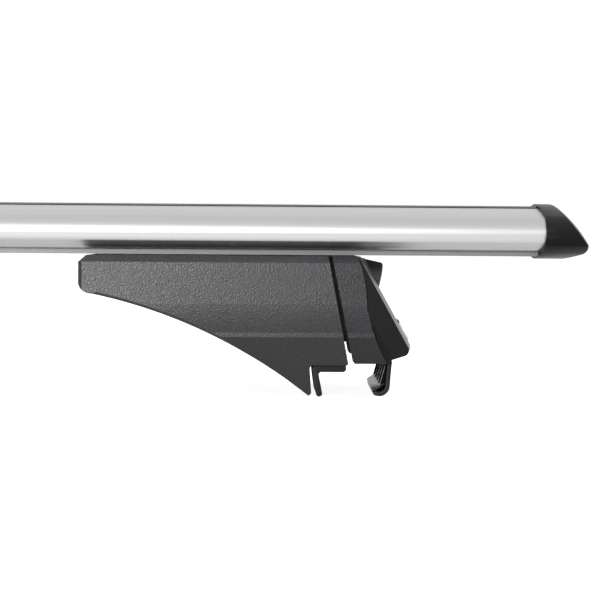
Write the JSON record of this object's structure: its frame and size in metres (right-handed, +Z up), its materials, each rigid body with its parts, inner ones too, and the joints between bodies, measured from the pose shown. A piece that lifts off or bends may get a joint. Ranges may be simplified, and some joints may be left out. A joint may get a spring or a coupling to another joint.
{
  "type": "roof rack crossbar",
  "caption": "Crossbar for a car roof with side rails: oval aluminium extrusion with a rubber top strip, end caps and a lockable clamping foot near each end.",
  "frame": {"origin": "Middle of the crossbar's length and depth, on the plane that the rail pads' lips stand on.", "axes": "+X along the bar, +Y across it (the car's travel direction), +Z up."},
  "size_m": [1.2, 0.083, 0.114],
  "materials": {
    "bar_aluminium": "satin anodised",
    "rubber_black": "matte",
    "cap_plastic": "smooth moulded",
    "cover_plastic": "fine leather grain",
    "lid_plastic": "smooth moulded",
    "knob_plastic": "moulded",
    "saddle_plastic": "moulded",
    "frame_steel": "black powder coat",
    "zinc_steel": "zinc plated",
    "lock_chrome": "bright"
  },
  "bodies": {
    "crossbar": {"bar": "bar_aluminium", "top_strip": "rubber_black", "end_cap_right": "cap_plastic", "end_cap_left": "cap_plastic"},
    "foot_right": {"foot_frame_right": "frame_steel", "bar_saddle_right": "saddle_plastic", "slot_plate_right": "zinc_steel", "foot_bolts_right": "zinc_steel", "inner_cover_right": "cover_plastic", "outer_cover_right": "cover_plastic", "cover_screws_right": "zinc_steel", "rail_pad_right": "rubber_black", "thrust_plate_right": "frame_steel", "pivot_pin_right": "zinc_steel", "latch_pin_right": "zinc_steel", "hinge_pins_right": "zinc_steel"},
    "knob_right": {"clamp_knob_right": "knob_plastic", "clamp_screw_right": "zinc_steel"},
    "nut_right": {"cross_nut_right": "zinc_steel"},
    "arm_right": {"clamp_arm_right": "frame_steel", "jaw_lining_right": "rubber_black"},
    "lid_right": {"lock_lid_right": "lid_plastic", "lock_barrel_right": "lock_chrome"},
    "lock_right": {"lock_plug_right": "lock_chrome", "lock_cam_right": "zinc_steel"},
    "foot_left": {"foot_frame_left": "frame_steel", "bar_saddle_left": "saddle_plastic", "slot_plate_left": "zinc_steel", "foot_bolts_left": "zinc_steel", "inner_cover_left": "cover_plastic", "outer_cover_left": "cover_plastic", "cover_screws_left": "zinc_steel", "rail_pad_left": "rubber_black", "thrust_plate_left": "frame_steel", "pivot_pin_left": "zinc_steel", "latch_pin_left": "zinc_steel", "hinge_pins_left": "zinc_steel"},
    "knob_left": {"clamp_knob_left": "knob_plastic", "clamp_screw_left": "zinc_steel"},
    "nut_left": {"cross_nut_left": "zinc_steel"},
    "arm_left": {"clamp_arm_left": "frame_steel", "jaw_lining_left": "rubber_black"},
    "lid_left": {"lock_lid_left": "lid_plastic", "lock_barrel_left": "lock_chrome"},
    "lock_left": {"lock_plug_left": "lock_chrome", "lock_cam_left": "zinc_steel"}
  },
  "joints": [
    {"name": "foot_slide_right", "type": "slide", "parent": "crossbar", "child": "foot_right", "axis": [1, 0, 0], "range_m": [-0.06, 0.06]},
    {"name": "knob_turn_right", "type": "hinge", "parent": "foot_right", "child": "knob_right", "pos_m": [0.473, 0, 0.0677], "axis": [-0.9763, 0, 0.2164], "range_deg": [-721, 1225]},
    {"name": "nut_travel_right", "type": "slide", "parent": "foot_right", "child": "nut_right", "axis": [0.9763, 0, -0.2164], "range_m": [-0.002, 0.0034]},
    {"name": "arm_swing_right", "type": "hinge", "parent": "foot_right", "child": "arm_right", "pos_m": [0.4658, 0, 0.045], "axis": [0, 1, 0], "range_deg": [-5.2, 8.5]},
    {"name": "lid_hinge_right", "type": "hinge", "parent": "foot_right", "child": "lid_right", "pos_m": [0.4584, 0, 0.0792], "axis": [0, -1, 0], "range_deg": [0, 45]},
    {"name": "lock_turn_right", "type": "hinge", "parent": "lid_right", "child": "lock_right", "pos_m": [0.4892, 0, 0.0373], "axis": [0.8746, 0, 0.4848], "range_deg": [0, 90]},
    {"name": "foot_slide_left", "type": "slide", "parent": "crossbar", "child": "foot_left", "axis": [1, 0, 0], "range_m": [-0.06, 0.06]},
    {"name": "knob_turn_left", "type": "hinge", "parent": "foot_left", "child": "knob_left", "pos_m": [-0.473, 0, 0.0677], "axis": [0.9763, 0, 0.2164], "range_deg": [-721, 1225]},
    {"name": "nut_travel_left", "type": "slide", "parent": "foot_left", "child": "nut_left", "axis": [-0.9763, 0, -0.2164], "range_m": [-0.002, 0.0034]},
    {"name": "arm_swing_left", "type": "hinge", "parent": "foot_left", "child": "arm_left", "pos_m": [-0.4658, 0, 0.045], "axis": [0, -1, 0], "range_deg": [-5.2, 8.5]},
    {"name": "lid_hinge_left", "type": "hinge", "parent": "foot_left", "child": "lid_left", "pos_m": [-0.4584, 0, 0.0792], "axis": [0, 1, 0], "range_deg": [0, 45]},
    {"name": "lock_turn_left", "type": "hinge", "parent": "lid_left", "child": "lock_left", "pos_m": [-0.4892, 0, 0.0373], "axis": [-0.8746, 0, 0.4848], "range_deg": [0, 90]}
  ],
  "couplings": [
    {"joint": "knob_turn_right", "follows": "nut_travel_right", "rad_per_m": 6283.2},
    {"joint": "arm_swing_right", "follows": "nut_travel_right", "rad_per_m": 42.158},
    {"joint": "knob_turn_left", "follows": "nut_travel_left", "rad_per_m": 6283.2},
    {"joint": "arm_swing_left", "follows": "nut_travel_left", "rad_per_m": 42.158}
  ]
}
